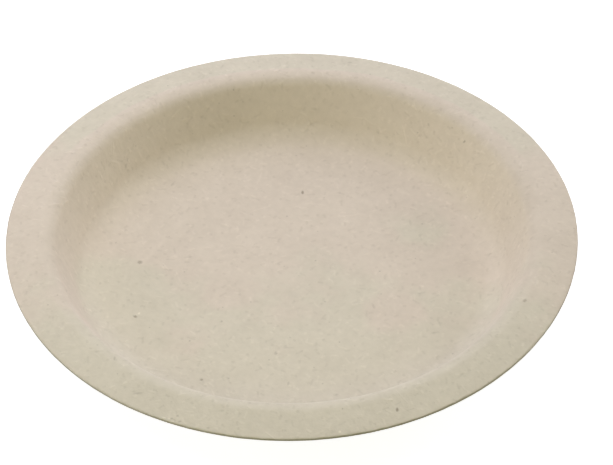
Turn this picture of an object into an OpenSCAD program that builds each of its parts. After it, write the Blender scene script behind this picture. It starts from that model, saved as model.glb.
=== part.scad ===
// Round plate pressed from paper pulp in one piece: one sheet of even thickness
// that runs from a flat floor, up a steep wall and over a rolled shoulder into a
// broad rim, which falls slightly towards its cut edge.
// Millimetres, +Z up, origin at the centre of the flat underside.

/* [Sheet] */
// Thickness of the pressed pulp
sheet_t = 0.8; // [0.5:0.05:1.4]

/* [Rim] */
// Diameter over the cut edge of the rim
plate_d = 178; // [130:1:270]
// Width of the rim's straight part, from the cut edge to the shoulder
rim_w = 10.5; // [6:0.5:16]
// Angle at which the rim falls towards its cut edge
rim_fall = 7.5; // [0:0.5:15]
// Radius of the shoulder, where the rim rolls over into the wall, on the upper face
shoulder_r = 5.2; // [3:0.1:7]

/* [Well] */
// Depth of the well, from the top of the shoulder down to the upper face of the floor
well_depth = 18; // [14:0.5:26]
// Slope of the wall, from the horizontal
wall_slope = 61.5; // [50:0.5:70]
// Radius of the corner between the wall and the floor, on the upper face
corner_r = 9.6; // [5:0.1:11]

/* [Hidden] */

pulp = "#CEC4B2";
// How far a bend turns between two points of its outline, and how finely the plate is turned
bend_step = 3;
turn_fn = 360;

plate_r = plate_d / 2;
top_z = sheet_t + well_depth;
edge_h = sheet_t / cos(rim_fall);

// Both faces of a bend share one centre, which keeps the sheet even in thickness
shoulder_c = [plate_r - rim_w - shoulder_r * sin(rim_fall), top_z - shoulder_r];
corner_z = sheet_t + corner_r;

// Between the two bends the wall is straight, and touches both
bend_gap = shoulder_c[1] - corner_z;
bend_sum = shoulder_r + corner_r;
wall_run = (bend_gap + bend_sum * cos(wall_slope)) / tan(wall_slope);
floor_r = shoulder_c[0] - bend_sum * sin(wall_slope) - wall_run;
corner_c = [floor_r, corner_z];

// The rim's straight part leaves the shoulder at the rim's own fall
rim_inner = shoulder_c + polar(shoulder_r, 90 - rim_fall);
rim_outer = [plate_r, rim_inner[1] - rim_w * tan(rim_fall)];

// Point at a distance and an angle from the origin
function polar(r, a) = [r * cos(a), r * sin(a)];

// Points along an arc, both ends included
function arc(c, r, from_a, to_a) =
    let (steps = ceil(abs(to_a - from_a) / bend_step))
    [for (i = [0:steps]) c + polar(r, from_a + (to_a - from_a) * i / steps)];

// Upper face, from the cut edge in to the centre
function upper_face() = concat(
    [rim_outer],
    arc(shoulder_c, shoulder_r, 90 - rim_fall, 90 + wall_slope),
    arc(corner_c, corner_r, 270 + wall_slope, 270),
    [[0, sheet_t]]
);

// Underside, from the centre back out to the cut edge
function underside() = concat(
    [[0, 0]],
    arc(corner_c, corner_r + sheet_t, 270, 270 + wall_slope),
    arc(shoulder_c, shoulder_r - sheet_t, 90 + wall_slope, 90 - rim_fall),
    [rim_outer - [0, edge_h]]
);

module plate() {
    color(pulp)
        rotate_extrude($fn = turn_fn)
            polygon(concat(upper_face(), underside()));
}

plate();
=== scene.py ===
# A round plate pressed from paper pulp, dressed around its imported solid.
# Metres, +Z up, origin at the centre of the flat underside; +Y points away from the camera.
import math

import bpy
import numpy as np
from mathutils import Matrix, Vector, noise


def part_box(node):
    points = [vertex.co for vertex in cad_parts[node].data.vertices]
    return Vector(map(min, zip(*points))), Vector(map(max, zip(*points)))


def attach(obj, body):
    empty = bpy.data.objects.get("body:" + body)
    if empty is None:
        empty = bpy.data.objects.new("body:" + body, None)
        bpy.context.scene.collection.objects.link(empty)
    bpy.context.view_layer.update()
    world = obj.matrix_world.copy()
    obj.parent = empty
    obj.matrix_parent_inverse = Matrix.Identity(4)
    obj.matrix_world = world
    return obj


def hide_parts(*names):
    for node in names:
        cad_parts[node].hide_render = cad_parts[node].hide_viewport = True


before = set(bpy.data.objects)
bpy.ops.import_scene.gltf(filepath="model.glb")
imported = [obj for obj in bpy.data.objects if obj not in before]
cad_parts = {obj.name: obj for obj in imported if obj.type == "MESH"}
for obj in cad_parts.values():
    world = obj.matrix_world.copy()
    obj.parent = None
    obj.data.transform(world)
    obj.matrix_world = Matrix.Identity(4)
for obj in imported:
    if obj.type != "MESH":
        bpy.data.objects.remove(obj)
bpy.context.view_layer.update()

MM = 0.001

# The sheet, with the sizes of its solid
plate_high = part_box("plate")[1]
PLATE_R = plate_high.x
HEIGHT = plate_high.z
SHEET_T = 0.8 * MM
RIM_W = 10.5 * MM
RIM_FALL = 7.5
SHOULDER_R = 5.2 * MM
CORNER_R = 9.6 * MM
WALL_SLOPE = 61.5

# How finely the sheet is turned and cut into rings
SEGMENTS = 480
FLOOR_RING = 2.2 * MM
BEND_RING = 0.6 * MM
ARC_STEPS = 60

# Sides of the sheet, which are also the mesh's material slots
UPPER = 0
CUT = 1
UNDERSIDE = 2

# The cut edge: its rounded corners, and how far torn fibres make it uneven
EDGE_ROUND = 0.18 * MM
EDGE_STEPS = 3
EDGE_TORN = 0.12 * MM
EDGE_TORN_SIZE = 2.2 * MM

# How far the rim warped as it dried: up at the plate's left and right, down at its front and back
RIM_WARP = 0.45 * MM
# How far the rim bulges above its slope, and how far the crown is pressed flat, where, and how wide
RIM_BOW = 0.07 * MM
CROWN_DIP = 0.16 * MM
CROWN_DIP_R = 76.9 * MM
CROWN_DIP_HALF = 2.2 * MM

# Waves of the pressed sheet, as (size, height): up and down, and in and out on the wall
WAVES = (
    (36 * MM, 0.100 * MM),
    (12 * MM, 0.040 * MM),
    (5 * MM, 0.012 * MM),
)
WALL_WAVES = ((28 * MM, 0.110 * MM),)
WAVES_SHIFT = Vector((0.313, 0.187, 0.239))
WALL_WAVES_SHIFT = Vector((7.3, 2.9, 4.1))
# Each wave is fractal noise with this exponent, step in size and number of octaves
WAVE_FRACTAL = (1.0, 2.0, 3)

# Bark specks on the upper face, in mm on the sheet laid flat: x, y, half length, half width,
# angle in degrees, darkness; below 0 the speck is a pale crumb
SPECKS = (
    (3.8, 37.8, 0.85, 0.45, 90, 0.60),
    (33.3, -86.8, 0.75, 0.50, 90, 0.58),
    (-48.1, 6.1, 0.80, 0.80, 0, 0.42),
    (-49.1, -18.6, 0.80, 0.50, -50, 0.50),
    (-47.9, -17.2, 0.50, 0.35, 60, -0.25),
    (78.6, -37.9, 0.90, 0.60, 60, 0.36),
    (-28.3, -47.1, 0.55, 0.50, 0, 0.44),
    (61.6, 49.9, 0.60, 0.45, 0, 0.40),
    (-60.0, -61.6, 1.00, 0.35, 90, 0.24),
    (-51.5, -77.1, 1.60, 0.45, 0, 0.20),
    (-22.2, -21.6, 0.50, 0.35, 80, 0.24),
    (-5.6, -36.1, 0.80, 0.45, 90, 0.22),
    (-55.5, 46.2, 0.90, 0.45, 90, 0.18),
    (-60.4, -3.4, 0.60, 0.45, 90, 0.14),
    (49.1, 60.6, 0.70, 0.40, 100, 0.20),
    (-1.9, -49.5, 0.90, 0.35, 80, 0.20),
    (22.4, 91.5, 0.80, 0.50, 0, 0.16),
    (14.3, -95.4, 0.50, 0.40, 0, -0.28),
    (-42.6, -87.4, 0.70, 0.30, -30, -0.16),
    (-42.0, -88.0, 0.40, 0.35, 0, 0.35),
    (-41.0, -87.9, 0.60, 0.30, -30, -0.16),
    (-40.1, -88.0, 0.45, 0.35, 0, 0.30),
    (-39.7, -89.0, 0.60, 0.30, -30, -0.20),
    (-38.3, -87.2, 0.45, 0.40, 0, 0.28),
    (-37.5, -89.4, 0.50, 0.35, 0, 0.30),
    (-28.3, -92.5, 0.50, 0.40, 0, 0.22),
)
# An offset that lies outside every speck, in a speck's half sizes
NO_SPECK = 9.0
# A speck's edge fades out between these offsets, and noise of a size in mm makes it ragged
SPECK_EDGE = (0.4, 1.4)
SPECK_RAGGED = 0.35
SPECK_RAGGED_SIZE = 0.4

# Small bark flecks all over: spacing, largest radius, width of the edge and grain of its
# raggedness, in mm
FLECK_SPACING = 6.5
FLECK_RADIUS = 0.30
FLECK_EDGE = 0.12
FLECK_RAGGED_SIZE = 0.5
# How dark the darkest flecks are, the share of cells without one, and the share short of the darkest
FLECK_DARKNESS = 0.30
FLECK_CHANCE = (0.55, 0.95)

# Where the sheet lies in the endless pattern of the pulp: its turn, and its shift in mm
PULP_TURN = 0.6
PULP_SHIFT = (41.7, 23.3, 0.0)
# How far the underside is laid from the upper face, so that it has another part of the pattern
UNDERSIDE_SHIFT = np.array([400, 300]) * MM
# Cloudy layers of the pulp: size in mm, detail, roughness
CLOUDS = {
    "drift": (30.0, 1.0, 0.5),
    "cloud": (9.0, 2.0, 0.6),
    "blotch": (2.6, 2.0, 0.6),
    "grain": (0.8, 2.0, 0.6),
}
# Single fibres: spacing, length and width in mm, curl, seed
PALE_FIBRES = (
    (3.1, 2.4, 1.00, 0.12, 1),
    (3.9, 3.4, 0.84, 0.10, 2),
    (2.7, 1.5, 1.00, 0.20, 3),
    (13.0, 8.0, 0.60, 0.02, 7),
)
DARK_FIBRES = (
    (3.0, 2.0, 0.94, 0.12, 4),
    (2.6, 1.3, 1.04, 0.20, 5),
    (4.3, 3.4, 0.80, 0.08, 6),
)
# Share of the cells that have no fibre, and how far apart in the pattern two seeds are, in mm
NO_FIBRE = 0.66
SEED_STEP = Vector((37.3, 21.7, 0.0))
# How soft a fibre's sides are, in widths, and where its ends fade out, in lengths from its middle
FIBRE_SIDE = 0.75
FIBRE_END = (0.3, 0.5)
# Matted fibres between them: length and width in mm, number of directions, first direction
FELT = (3.0, 0.45, 5, 0.3)
# How curled the matted fibres are, and how thin their ridges are
FELT_CURL = 0.4
FELT_SHARPNESS = 1.5
# How much each layer lightens the pulp, how far it stands up in mm, and how much rougher it is
LIGHTENING = {
    "drift": 0.030,
    "cloud": 0.045,
    "blotch": 0.052,
    "grain": 0.006,
    "pale": 0.050,
    "dark": -0.068,
}
RELIEF = {
    "blotch": 0.052,
    "grain": 0.004,
    "matted": 0.012,
    "pale": 0.042,
    "dark": -0.036,
}
ROUGHENING = {
    "blotch": 0.04,
    "pale": -0.06,
}
ROUGHNESS = 0.88
# Pitch of the mould's screen, in mm
SCREEN_PITCH = 0.9

# Colours, in linear light: the pulp, what full pink adds to it, what a mark or painted light or shade of 1
# adds to it, and bark
PULP = (0.6135, 0.5415, 0.437)
PINK_TINT = (0.0098, -0.0030, 0.0028)
MARK_COLOUR = (0.60, 0.56, 0.49)
SPECK_COLOUR = (0.16, 0.12, 0.075)

# Painted light and shade, not the pulp's own colour: how much lighter the wall and the rim are painted than
# the floor (below 0 darker, painted shade), and the crown than the rim
WALL_PAINTED_LIGHT = 0.015
RIM_PAINTED_SHADE = -0.022
CROWN_PAINTED_SHADE = -0.018
# Where the wall's painted light and the rim's painted shade come in along the sheet, in mm from its
# centre, where the crown is, and how far from it its painted shade fades out
WALL_START = (66.0, 70.0)
RIM_START = (81.3, 84.3)
CROWN_AT = 83.8
CROWN_FADE = (0.3, 2.3)

# The tint is green at the first value and pink at the second. It grows by 1 with each mm towards
# the back, falls again on the back rim, and grows towards both sides
TINT_RANGE = (-30.0, 14.0)
TINT_ON_BACK_RIM = -2.0
TINT_ASIDE = 0.0044
BACK_RIM_START = (86.0, 91.0)
# Clouds in the tint: size in mm, strength, place in the noise
TINT_CLOUDS = (
    (24.0, 34.0, (91.0, 33.0, 0.0)),
    (6.0, 14.0, (17.0, 58.0, 0.0)),
)
# A patch of tint fades out between these shares of its radius
PATCH_EDGE = (0.5, 1.3)
# Where the pulp is greener (below 0) or pinker, in mm on the sheet: x, y, radius, strength
TINT_PATCHES = (
    (-54, -6, 20, -36),
    (43, 25, 13, -40),
    (56, -13, 11, -30),
    (-19, -8, 9, 36),
    (31, -19, 10, 36),
)

# Camera: the photograph's size, and the focal length and the place of the rim's centre in its
# pixels; then the height of that centre, and the camera's distance, elevation and roll
PHOTO_W = 613
PHOTO_H = 465
SENSOR = 36.0
FOCAL_PX = 3429.0
RIM_CENTRE_PX = (291.6, 233.4)
RIM_CENTRE_Z = 17.4 * MM
CAMERA_DISTANCE = 12 * PLATE_R
CAMERA_ELEVATION = math.radians(42.33)
CAMERA_ROLL = math.radians(-1.14)

# Soft square lights: name, azimuth from behind the plate towards its left, elevation, distance,
# side, power in watts, colour; angles in degrees
LIGHTS = (
    ("back", 0, 40, 1.2, 0.5, 1.70, (0.99, 0.96, 1.55)),
    ("back_right_high", 315, 58, 1.2, 0.5, 2.68, (1.01, 0.97, 1.28)),
    ("back_right_low", 300, 18, 1.2, 0.5, 5.58, (0.98, 1.00, 1.05)),
    ("left_low", 100, 18, 1.2, 0.5, 2.74, (1.02, 0.99, 1.07)),
    ("left_high", 90, 72, 0.6, 0.4, 1.83, (0.97, 1.00, 1.05)),
    ("back_left", 60, 30, 0.6, 0.4, 0.50, (0.97, 0.98, 1.28)),
    ("front", 180, 40, 1.2, 0.5, 1.50, (1.01, 1.06, 0.26)),
)
# Light from all round, and the white that the camera sees instead of it
AMBIENT = (1.03, 1.035, 0.60)
AMBIENT_STRENGTH = 0.131
WHITE = (1.0, 1.0, 1.0, 1.0)
# The floor: its colour, its side, how far it lies below the plate so that the two don't share a
# plane, and how much light of its own it shows to the camera
FLOOR_COLOUR = (0.5, 0.5, 0.5)
FLOOR_SIDE = 6.0
FLOOR_DROP = 0.15 * MM
FLOOR_GLOW = 0.90


# The outline of the sheet

def arc(centre, radius, start, end):
    """Points along an arc, both ends included; angles in degrees from the horizontal."""
    turns = np.radians(np.linspace(start, end, ARC_STEPS))
    return [(centre[0] + radius * math.cos(a), centre[1] + radius * math.sin(a)) for a in turns]


def face_points(depth):
    """Radius and height along a face, from its centre out to the cut; depth is 0 on the upper face."""
    fall = math.radians(RIM_FALL)
    slope = math.radians(WALL_SLOPE)
    shoulder = (PLATE_R - RIM_W - SHOULDER_R * math.sin(fall), HEIGHT - SHOULDER_R)
    bends = SHOULDER_R + CORNER_R
    wall_rise = shoulder[1] - SHEET_T - CORNER_R + bends * math.cos(slope)
    floor_r = shoulder[0] - bends * math.sin(slope) - wall_rise / math.tan(slope)
    corner = (floor_r, SHEET_T + CORNER_R)
    cut_z = shoulder[1] + SHOULDER_R * math.cos(fall) - RIM_W * math.tan(fall)
    points = [(0.0, SHEET_T - depth)]
    points += arc(corner, CORNER_R + depth, 270, 270 + WALL_SLOPE)
    points += arc(shoulder, SHOULDER_R - depth, 90 + WALL_SLOPE, 90 - RIM_FALL)
    points += [(PLATE_R, cut_z - depth / math.cos(fall))]
    return np.array(points), floor_r


def face_rings(depth):
    """Rings of a face, from the centre out: radius, height and distance along the sheet."""
    points, floor_r = face_points(depth)
    along = np.concatenate([[0], np.cumsum(np.hypot(*np.diff(points, axis=0).T))])
    end = along[-1] - EDGE_ROUND
    floor = np.arange(FLOOR_RING, floor_r - FLOOR_RING / 2, FLOOR_RING)
    bent = np.linspace(floor_r, end, round((end - floor_r) / BEND_RING))
    places = np.concatenate([floor, bent])
    return np.column_stack([
        np.interp(places, along, points[:, 0]),
        np.interp(places, along, points[:, 1]),
        places,
    ])


def cut_rings(upper, lower):
    """Rings down the cut edge, between the last rings of the two faces."""
    turns = np.radians(np.linspace(0, 90, EDGE_STEPS + 1))
    rings = [
        (upper[0] + EDGE_ROUND * math.sin(a), upper[1] - EDGE_ROUND * (1 - math.cos(a)))
        for a in turns[1:]
    ]
    rings += [
        (lower[0] + EDGE_ROUND * math.cos(a), lower[1] + EDGE_ROUND * (1 - math.sin(a)))
        for a in turns[:-1]
    ]
    steps = np.hypot(*np.diff(np.vstack([upper[:2], rings]), axis=0).T)
    return np.column_stack([rings, upper[2] + np.cumsum(steps)])


# Unevenness

def clamped(t):
    return min(max(t, 0.0), 1.0)


def eased(t):
    """A smooth step: 0 below 0 and 1 above 1."""
    t = clamped(t)
    return t * t * (3 - 2 * t)


def waves_at(place, sizes):
    """Height of the waves at a place."""
    return sum(
        height * noise.fractal(place / size, *WAVE_FRACTAL, noise_basis="PERLIN_NEW")
        for size, height in sizes
    )


def rim_bow(radius):
    """Lift across the rim: none at its crown and at its cut, most at two thirds of its width."""
    t = clamped((radius - PLATE_R + RIM_W) / RIM_W)
    peak = 4 / 27
    return RIM_BOW / peak * t * t * (1 - t)


def crown_dip(radius):
    """How far the crown lies below a round arc, on its inner side."""
    return CROWN_DIP * (1 - eased(abs(radius - CROWN_DIP_R) / CROWN_DIP_HALF))


def ring_vertices(ring, side, floor_r):
    """The vertices of one ring, with the sheet's warp and waves. The underside's floor stays flat."""
    radius, height, _ = ring
    ramp = eased((radius - floor_r) / (PLATE_R - floor_r))
    midway = 4 * ramp * (1 - ramp)
    vertices = []
    for k in range(SEGMENTS):
        turn = math.tau * k / SEGMENTS
        flat = Vector((radius * math.cos(turn), radius * math.sin(turn), 0.0))
        r = radius + midway * waves_at(flat + WALL_WAVES_SHIFT, WALL_WAVES)
        if side == CUT:
            torn = noise.noise(Vector((flat.x, flat.y, height)) / EDGE_TORN_SIZE)
            r -= EDGE_TORN * (0.5 + 0.5 * torn)
        lift = waves_at(flat + WAVES_SHIFT, WAVES) * (1.0 if side == UPPER else ramp)
        warp = ramp * RIM_WARP * math.cos(2 * turn)
        z = height + lift + warp + rim_bow(radius) - crown_dip(radius)
        vertices.append((r * math.cos(turn), r * math.sin(turn), z))
    return vertices


# The mesh

def sheet_faces(ring_count):
    """Faces between neighbouring rings, and the fans that close both centres."""
    faces = []
    for i in range(ring_count - 1):
        for j in range(SEGMENTS):
            a = i * SEGMENTS + j
            b = i * SEGMENTS + (j + 1) % SEGMENTS
            faces.append((a, a + SEGMENTS, b + SEGMENTS, b))
    upper_centre = ring_count * SEGMENTS
    last = (ring_count - 1) * SEGMENTS
    for j in range(SEGMENTS):
        k = (j + 1) % SEGMENTS
        faces.append((upper_centre, j, k))
        faces.append((upper_centre + 1, last + k, last + j))
    return faces


def face_sides(ring_sides):
    """Which side of the sheet each face is on: a band is on the cut where its two rings differ."""
    bands = np.where(ring_sides[1:] == ring_sides[:-1], ring_sides[1:], CUT)
    fans = np.tile([UPPER, UNDERSIDE], SEGMENTS)
    return np.concatenate([np.repeat(bands, SEGMENTS), fans])


def numbers_of(items, name):
    """A whole number that each item has, as an array."""
    values = np.empty(len(items), int)
    items.foreach_get(name, values)
    return values


def speck_offsets(flat, face_starts, face_sizes, is_upper):
    """For each corner, where it lies from its face's nearest speck, in the speck's own half sizes."""
    x, y, half_length, half_width, angle, darkness = np.array(SPECKS).T
    places = np.column_stack([x, y]) * MM
    middles = np.add.reduceat(flat, face_starts, axis=0) / face_sizes[:, None]
    nearest = np.argmin(((middles[:, None, :] - places[None]) ** 2).sum(2), axis=1)
    chosen = np.repeat(nearest, face_sizes)
    near = (flat - places[chosen]) / MM
    turn = np.radians(angle[chosen])
    along = near[:, 0] * np.cos(turn) + near[:, 1] * np.sin(turn)
    across = near[:, 1] * np.cos(turn) - near[:, 0] * np.sin(turn)
    offsets = np.column_stack([along / half_length[chosen], across / half_width[chosen], darkness[chosen]])
    offsets[~np.repeat(is_upper, face_sizes)] = (NO_SPECK, NO_SPECK, 0)
    return offsets


def lay_flat(mesh, ring_distances, sides):
    """Gives each corner its place on the sheet laid flat, at its own angle, and its speck's offset."""
    sizes = numbers_of(mesh.polygons, "loop_total")
    starts = numbers_of(mesh.polygons, "loop_start")
    vertex = numbers_of(mesh.loops, "vertex_index")
    along = np.append(np.repeat(ring_distances, SEGMENTS), [0, 0])[vertex]
    turn = math.tau * (vertex % SEGMENTS) / SEGMENTS
    flat = np.column_stack([along * np.cos(turn), along * np.sin(turn)])

    on_underside = np.repeat(sides, sizes)[:, None] == UNDERSIDE
    shifted = flat + np.where(on_underside, UNDERSIDE_SHIFT, 0.0)
    layer = mesh.uv_layers.new(name="sheet")
    layer.data.foreach_set("uv", shifted.astype(np.float32).ravel())
    offsets = speck_offsets(flat, starts, sizes, sides == UPPER)
    speck = mesh.attributes.new("speck", "FLOAT_VECTOR", "CORNER")
    speck.data.foreach_set("vector", offsets.astype(np.float32).ravel())


def plate_mesh(materials):
    """The whole sheet as one closed mesh: upper face, cut edge and underside."""
    floor_r = face_points(0)[1]
    upper = face_rings(0)
    lower = face_rings(SHEET_T)[::-1]
    cut = cut_rings(upper[-1], lower[0])
    rings = np.vstack([upper, cut, lower])
    ring_sides = np.repeat([UPPER, CUT, UNDERSIDE], [len(upper), len(cut), len(lower)])

    vertices = []
    for ring, side in zip(rings, ring_sides):
        vertices += ring_vertices(ring, side, floor_r)
    vertices += [(0, 0, SHEET_T), (0, 0, 0)]
    mesh = bpy.data.meshes.new("moulded_plate")
    mesh.from_pydata(vertices, [], sheet_faces(len(rings)))
    for material in materials:
        mesh.materials.append(material)
    sides = face_sides(ring_sides)
    mesh.polygons.foreach_set("material_index", sides)
    mesh.polygons.foreach_set("use_smooth", np.ones(len(sides), bool))
    lay_flat(mesh, rings[:, 2], sides)
    mesh.update()
    return mesh


# Materials

class Graph:
    """Builds a node tree. node() returns the node that it adds, and the other calls return sockets."""

    def __init__(self, tree):
        self.tree = tree
        tree.nodes.clear()

    def node(self, kind, inputs=(), **settings):
        node = self.tree.nodes.new(kind)
        for name, value in settings.items():
            setattr(node, name, value)
        for socket, value in dict(inputs).items():
            if isinstance(value, bpy.types.NodeSocket):
                self.tree.links.new(value, node.inputs[socket])
            else:
                node.inputs[socket].default_value = value
        return node

    def maths(self, operation, *values):
        return self.node("ShaderNodeMath", enumerate(values), operation=operation).outputs[0]

    def vectors(self, operation, *values, output=0):
        return self.node("ShaderNodeVectorMath", enumerate(values), operation=operation).outputs[output]

    def times(self, a, b):
        return self.maths("MULTIPLY", a, b)

    def length(self, vector):
        return self.vectors("LENGTH", vector, output="Value")

    def scaled(self, vector, factor):
        node = self.node("ShaderNodeVectorMath", {0: vector, "Scale": factor}, operation="SCALE")
        return node.outputs[0]

    def total(self, *values):
        result = values[0]
        for value in values[1:]:
            result = self.maths("ADD", result, value)
        return result

    def weighted(self, layers, weights):
        """The sum of the layers that have a weight, each times its weight."""
        return self.total(*[self.times(layers[name], weight) for name, weight in weights.items()])

    def noise(self, place, size, detail=2.0, roughness=0.5, distortion=0.0):
        """Noise from about -1 to 1, with features of a size in mm."""
        inputs = {
            "Vector": place,
            "Scale": 1 / size,
            "Detail": detail,
            "Roughness": roughness,
            "Distortion": distortion,
        }
        fac = self.node("ShaderNodeTexNoise", inputs, noise_dimensions="2D").outputs["Fac"]
        return self.maths("MULTIPLY_ADD", fac, 2.0, -1.0)

    def cells(self, place, size):
        """Three random numbers for each cell of the sheet, and the way to a place from its cell's point."""
        inputs = {"Vector": place, "Scale": 1 / size}
        cell = self.node("ShaderNodeTexVoronoi", inputs, voronoi_dimensions="2D", feature="F1").outputs
        chances = self.node("ShaderNodeSeparateColor", {0: cell["Color"]}).outputs
        return chances, self.vectors("SUBTRACT", place, cell["Position"])

    def smooth(self, value, start, end, low=0.0, high=1.0):
        """A smooth step: low below start, high above end."""
        inputs = {"Value": value, "From Min": start, "From Max": end, "To Min": low, "To Max": high}
        return self.node("ShaderNodeMapRange", inputs, interpolation_type="SMOOTHSTEP").outputs[0]

    def split(self, vector):
        return self.node("ShaderNodeSeparateXYZ", {0: vector}).outputs

    def turned(self, vector, angle):
        inputs = {"Vector": vector, "Angle": angle}
        return self.node("ShaderNodeVectorRotate", inputs, rotation_type="Z_AXIS").outputs[0]


def new_material(name):
    """An empty material, and the graph that fills it."""
    material = bpy.data.materials.new(name)
    material.use_nodes = True
    return material, Graph(material.node_tree)


def fibres(g, place, spacing, length, width, curl, seed):
    """Single fibres in some cells of the sheet, at any angle and slightly curled; sizes in mm."""
    (chance, strength, bend), offset = g.cells(g.vectors("ADD", place, SEED_STEP * seed), spacing)
    along, across, _ = g.split(g.turned(offset, g.times(chance, math.tau)))
    curled = g.times(g.times(along, along), g.smooth(bend, 0, 1, -curl, curl))
    aside = g.maths("ABSOLUTE", g.total(across, curled))
    body = g.smooth(aside, 0.0, width * FIBRE_SIDE, 1, 0)
    ends = g.smooth(g.maths("ABSOLUTE", along), length * FIBRE_END[0], length * FIBRE_END[1], 1, 0)
    return g.times(g.times(body, ends), g.smooth(strength, NO_FIBRE, 1.0))


def felt(g, place, length, width, turns, first_turn):
    """The matted fibres between the single ones: streaks that run in several directions."""
    layers = []
    for k in range(turns):
        turned = g.turned(place, math.pi * k / turns + first_turn)
        streaks = g.vectors("MULTIPLY", turned, (1 / length, 1 / width, 1.0))
        ridges = g.maths("ABSOLUTE", g.noise(streaks, 1.0, detail=1.0, distortion=FELT_CURL))
        layers.append(g.maths("POWER", ridges, FELT_SHARPNESS))
    return g.times(g.total(*layers), 1 / turns)


def pulp_layers(g, place):
    """The layers that make pulp uneven, by name."""
    layers = {name: g.noise(place, *shape) for name, shape in CLOUDS.items()}
    layers["matted"] = felt(g, place, *FELT)
    layers["pale"] = g.total(*[fibres(g, place, *shape) for shape in PALE_FIBRES])
    layers["dark"] = g.total(*[fibres(g, place, *shape) for shape in DARK_FIBRES])
    return layers


def painted_shading_by_ring(g, sheet):
    """Painted light on the wall and painted shade on the rim and its crown: how much lighter than the
    floor, by the distance along the sheet.
    """
    along = g.length(sheet)
    from_crown = g.maths("ABSOLUTE", g.maths("SUBTRACT", along, CROWN_AT))
    return g.total(
        g.smooth(along, *WALL_START, 0, WALL_PAINTED_LIGHT),
        g.smooth(along, *RIM_START, 0, RIM_PAINTED_SHADE - WALL_PAINTED_LIGHT),
        g.smooth(from_crown, *CROWN_FADE, CROWN_PAINTED_SHADE, 0),
    )


def tint_patch(g, sheet, x, y, radius, strength):
    """A soft round patch at a place on the sheet."""
    away = g.vectors("DISTANCE", sheet, (x, y, 0.0), output="Value")
    return g.smooth(away, radius * PATCH_EDGE[0], radius * PATCH_EDGE[1], strength, 0)


def sheet_tint(g, sheet, place):
    """From -1 where the pulp is greenish to 1 where it is pinkish."""
    aside, back, _ = g.split(sheet)
    on_rim = g.smooth(g.length(sheet), *BACK_RIM_START)
    on_back_rim = g.times(g.maths("MAXIMUM", back, 0.0), on_rim)
    parts = [
        back,
        g.times(on_back_rim, TINT_ON_BACK_RIM),
        g.times(g.times(aside, aside), TINT_ASIDE),
    ]
    for size, strength, shift in TINT_CLOUDS:
        cloud = g.noise(g.vectors("ADD", place, shift), size, detail=1.0)
        parts.append(g.times(cloud, strength))
    for patch in TINT_PATCHES:
        parts.append(tint_patch(g, sheet, *patch))
    return g.smooth(g.total(*parts), *TINT_RANGE, -1, 1)


def flecks(g, place):
    """How far small bark flecks cover the pulp."""
    (chance, size, _), offset = g.cells(place, FLECK_SPACING)
    ragged = g.times(g.noise(place, FLECK_RAGGED_SIZE, detail=1.0), FLECK_EDGE)
    from_middle = g.total(g.length(offset), ragged)
    past_edge = g.maths("SUBTRACT", from_middle, g.times(size, FLECK_RADIUS))
    fleck = g.smooth(past_edge, -FLECK_EDGE, FLECK_EDGE, 1, 0)
    return g.times(fleck, g.smooth(chance, *FLECK_CHANCE, 0, FLECK_DARKNESS))


def placed_specks(g, place):
    """How far the placed specks cover the pulp, from the offsets that the mesh holds."""
    offset = g.node("ShaderNodeAttribute", attribute_name="speck").outputs["Vector"]
    along, across, darkness = g.split(offset)
    flat = g.node("ShaderNodeCombineXYZ", {0: along, 1: across}).outputs[0]
    ragged = g.times(g.noise(place, SPECK_RAGGED_SIZE, detail=1.0), SPECK_RAGGED)
    from_middle = g.total(g.length(flat), ragged)
    return g.times(g.smooth(from_middle, *SPECK_EDGE, 1, 0), darkness)


def screen_weave(g, place):
    """The mesh of the mould's screen, from -1 to 1."""
    across, along, _ = g.split(g.scaled(place, math.tau / SCREEN_PITCH))
    return g.times(g.maths("SINE", across), g.maths("SINE", along))


def pulp_material(name, tone, relief, has_specks=False, screen_print=0.0):
    """Matte pressed pulp. tone scales its colour, relief its bump; screen_print is in mm."""
    material, g = new_material(name)
    sheet = g.scaled(g.node("ShaderNodeUVMap", uv_map="sheet").outputs[0], 1 / MM)
    place = g.vectors("ADD", g.turned(sheet, PULP_TURN), PULP_SHIFT)
    layers = pulp_layers(g, place)

    tinted = g.vectors("ADD", PULP, g.scaled(PINK_TINT, sheet_tint(g, sheet, place)))
    # Painted light on the wall and painted shade on the rim and crown, plus the pulp's own lighter and
    # darker layers
    lighter_and_painted_shading = g.total(painted_shading_by_ring(g, sheet), g.weighted(layers, LIGHTENING))
    colour = g.scaled(g.vectors("ADD", tinted, g.scaled(MARK_COLOUR, lighter_and_painted_shading)), tone)
    covered = flecks(g, place)
    if has_specks:
        covered = g.total(covered, placed_specks(g, place))
    to_speck = g.vectors("SUBTRACT", SPECK_COLOUR, colour)
    colour = g.vectors("ADD", colour, g.scaled(to_speck, covered))

    height = g.weighted(layers, RELIEF)
    if screen_print:
        height = g.total(height, g.times(screen_weave(g, place), screen_print))
    bump = g.node("ShaderNodeBump", {"Strength": 1.0, "Distance": relief * MM, "Height": height})
    shader = g.node("ShaderNodeBsdfPrincipled", {
        "Base Color": colour,
        "Roughness": g.total(ROUGHNESS, g.weighted(layers, ROUGHENING)),
        "Diffuse Roughness": 0.18,
        "IOR": 1.45,
        "Specular IOR Level": 0.25,
        "Normal": bump.outputs[0],
    })
    g.node("ShaderNodeOutputMaterial", {0: shader.outputs[0]})
    return material


def seen_directly(g):
    """1 for the camera and for what shows in gloss or glass, 0 for the light that falls on things."""
    path = g.node("ShaderNodeLightPath").outputs
    seen = g.maths("MAXIMUM", path["Is Camera Ray"], path["Is Glossy Ray"])
    return g.maths("MAXIMUM", seen, path["Is Transmission Ray"])


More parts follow.
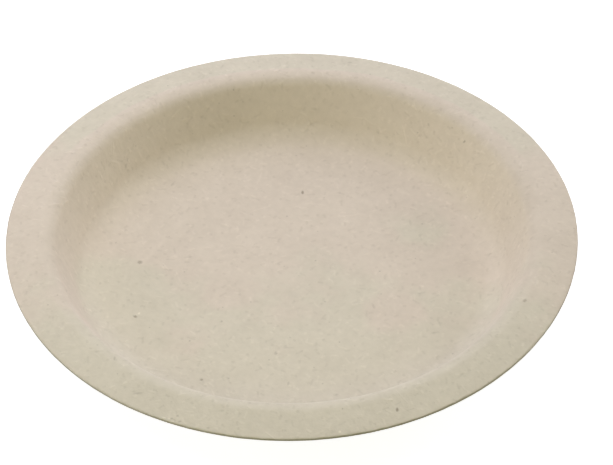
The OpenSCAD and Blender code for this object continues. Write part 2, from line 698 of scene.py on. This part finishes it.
def floor_material():
    """Pale matte floor, shown as white where the plate leaves it in the light."""
    material, g = new_material("floor")
    matte = g.node("ShaderNodeBsdfDiffuse", {"Color": (*FLOOR_COLOUR, 1)})
    glow = g.node("ShaderNodeEmission", {"Color": WHITE, "Strength": FLOOR_GLOW})
    seen = g.node("ShaderNodeMixShader", {0: seen_directly(g), 2: glow.outputs[0]})
    both = g.node("ShaderNodeAddShader", {0: matte.outputs[0], 1: seen.outputs[0]})
    g.node("ShaderNodeOutputMaterial", {0: both.outputs[0]})
    return material


# The stage

def add_object(name, data):
    made = bpy.data.objects.new(name, data)
    bpy.context.scene.collection.objects.link(made)
    return made


def make_plate():
    materials = [
        pulp_material("pulp_upper", tone=1.0, relief=1.0, has_specks=True),
        pulp_material("pulp_cut", tone=0.86, relief=2.0),
        pulp_material("pulp_underside", tone=0.98, relief=1.0, screen_print=0.02),
    ]
    plate = add_object("moulded_plate", plate_mesh(materials))
    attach(plate, "root")
    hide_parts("plate")


def make_floor():
    half = FLOOR_SIDE / 2
    corners = [(-half, -half, 0), (half, -half, 0), (half, half, 0), (-half, half, 0)]
    mesh = bpy.data.meshes.new("floor")
    mesh.from_pydata(corners, [], [(0, 1, 2, 3)])
    mesh.materials.append(floor_material())
    floor = add_object("floor", mesh)
    floor.location.z = -FLOOR_DROP


def make_world():
    """Even light from all round, and white where the camera sees past the floor."""
    world = bpy.data.worlds.new("surround")
    bpy.context.scene.world = world
    world.use_nodes = True
    g = Graph(world.node_tree)
    ambient = g.node("ShaderNodeBackground", {"Color": (*AMBIENT, 1), "Strength": AMBIENT_STRENGTH})
    white = g.node("ShaderNodeBackground", {"Color": WHITE, "Strength": 1.0})
    mixed = g.node("ShaderNodeMixShader", {0: seen_directly(g), 1: ambient.outputs[0], 2: white.outputs[0]})
    g.node("ShaderNodeOutputWorld", {0: mixed.outputs[0]})


def make_lights():
    for name, azimuth, elevation, distance, side, power, colour in LIGHTS:
        lamp = bpy.data.lights.new(name, "AREA")
        lamp.size = side
        lamp.energy = power
        lamp.color = colour
        a = math.radians(azimuth)
        e = math.radians(elevation)
        away = Vector((-math.sin(a) * math.cos(e), math.cos(a) * math.cos(e), math.sin(e)))
        light = add_object(name, lamp)
        light.location = away * distance
        light.visible_camera = False
        light.rotation_euler = away.to_track_quat("Z", "Y").to_euler()


def make_camera():
    """A camera that sees the rim's centre at its place in the photograph."""
    data = bpy.data.cameras.new("camera")
    data.sensor_width = SENSOR
    data.lens = FOCAL_PX / PHOTO_W * SENSOR
    camera = add_object("camera", data)
    back = Vector((0, -math.cos(CAMERA_ELEVATION), math.sin(CAMERA_ELEVATION)))
    aim = Vector((
        (RIM_CENTRE_PX[0] - PHOTO_W / 2) / FOCAL_PX,
        (PHOTO_H / 2 - RIM_CENTRE_PX[1]) / FOCAL_PX,
        -1.0,
    ))
    level = back.to_track_quat("Z", "Y").to_matrix()
    roll = Matrix.Rotation(CAMERA_ROLL, 3, "Z")
    turn = aim.rotation_difference(Vector((0, 0, -1))).to_matrix()
    place = Matrix.Translation(Vector((0, 0, RIM_CENTRE_Z)) + back * CAMERA_DISTANCE)
    camera.matrix_world = place @ (level @ roll @ turn).to_4x4()
    bpy.context.scene.camera = camera


make_plate()
make_floor()
make_world()
make_lights()
make_camera()
bpy.context.scene.view_settings.view_transform = "Standard"
